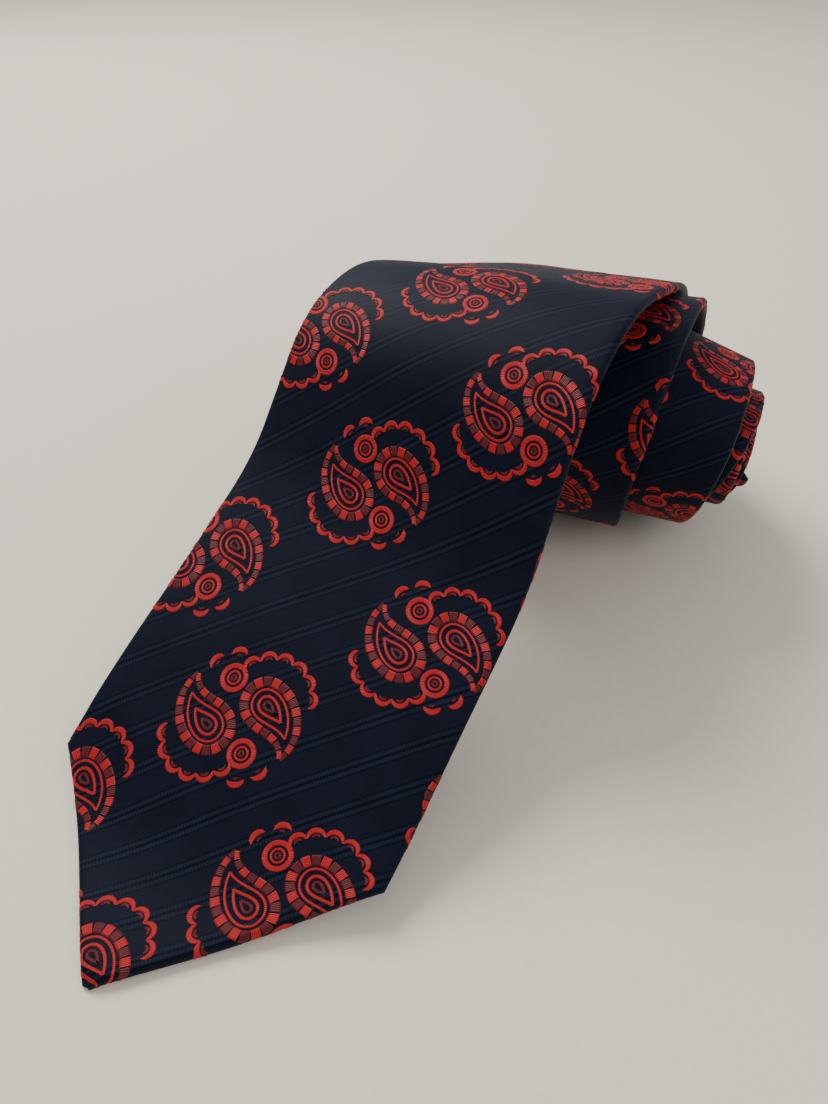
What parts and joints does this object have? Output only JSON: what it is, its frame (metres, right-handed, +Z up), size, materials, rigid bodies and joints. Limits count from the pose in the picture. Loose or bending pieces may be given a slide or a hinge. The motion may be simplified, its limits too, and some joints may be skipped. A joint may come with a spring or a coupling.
{
  "type": "necktie",
  "caption": "Folded silk necktie with paisley and diagonal stripes, loosely rolled up from its narrow end, wide pointed end drawn out over the roll.",
  "frame": {"origin": "on the resting plane, on the flattened underside of the outermost turn of the roll", "axes": "+X along the roll's axis to the right, +Y from the wide end's point towards the roll, +Z up"},
  "size_m": [0.1473, 0.2707, 0.0952],
  "materials": {
    "patterned_silk": "dark blue twill with satin stripe pairs and a red paisley brocade",
    "canvas": "brushed wool interlining",
    "lining": "plain satin lining",
    "thread": "sewing thread, matt",
    "label": "woven label tape, blank"
  },
  "bodies": {
    "root": {"blade_shell": "patterned_silk", "neck_shell": "patterned_silk", "tail_shell": "patterned_silk", "blade_join_thread": "thread", "tail_join_thread": "thread", "interlining": "canvas", "blade_lining": "lining", "tail_lining": "lining", "slip_stitch": "thread", "blade_bar_tack": "thread", "tail_bar_tack": "thread", "keeper_loop": "patterned_silk", "care_label": "label"}
  },
  "joints": []
}
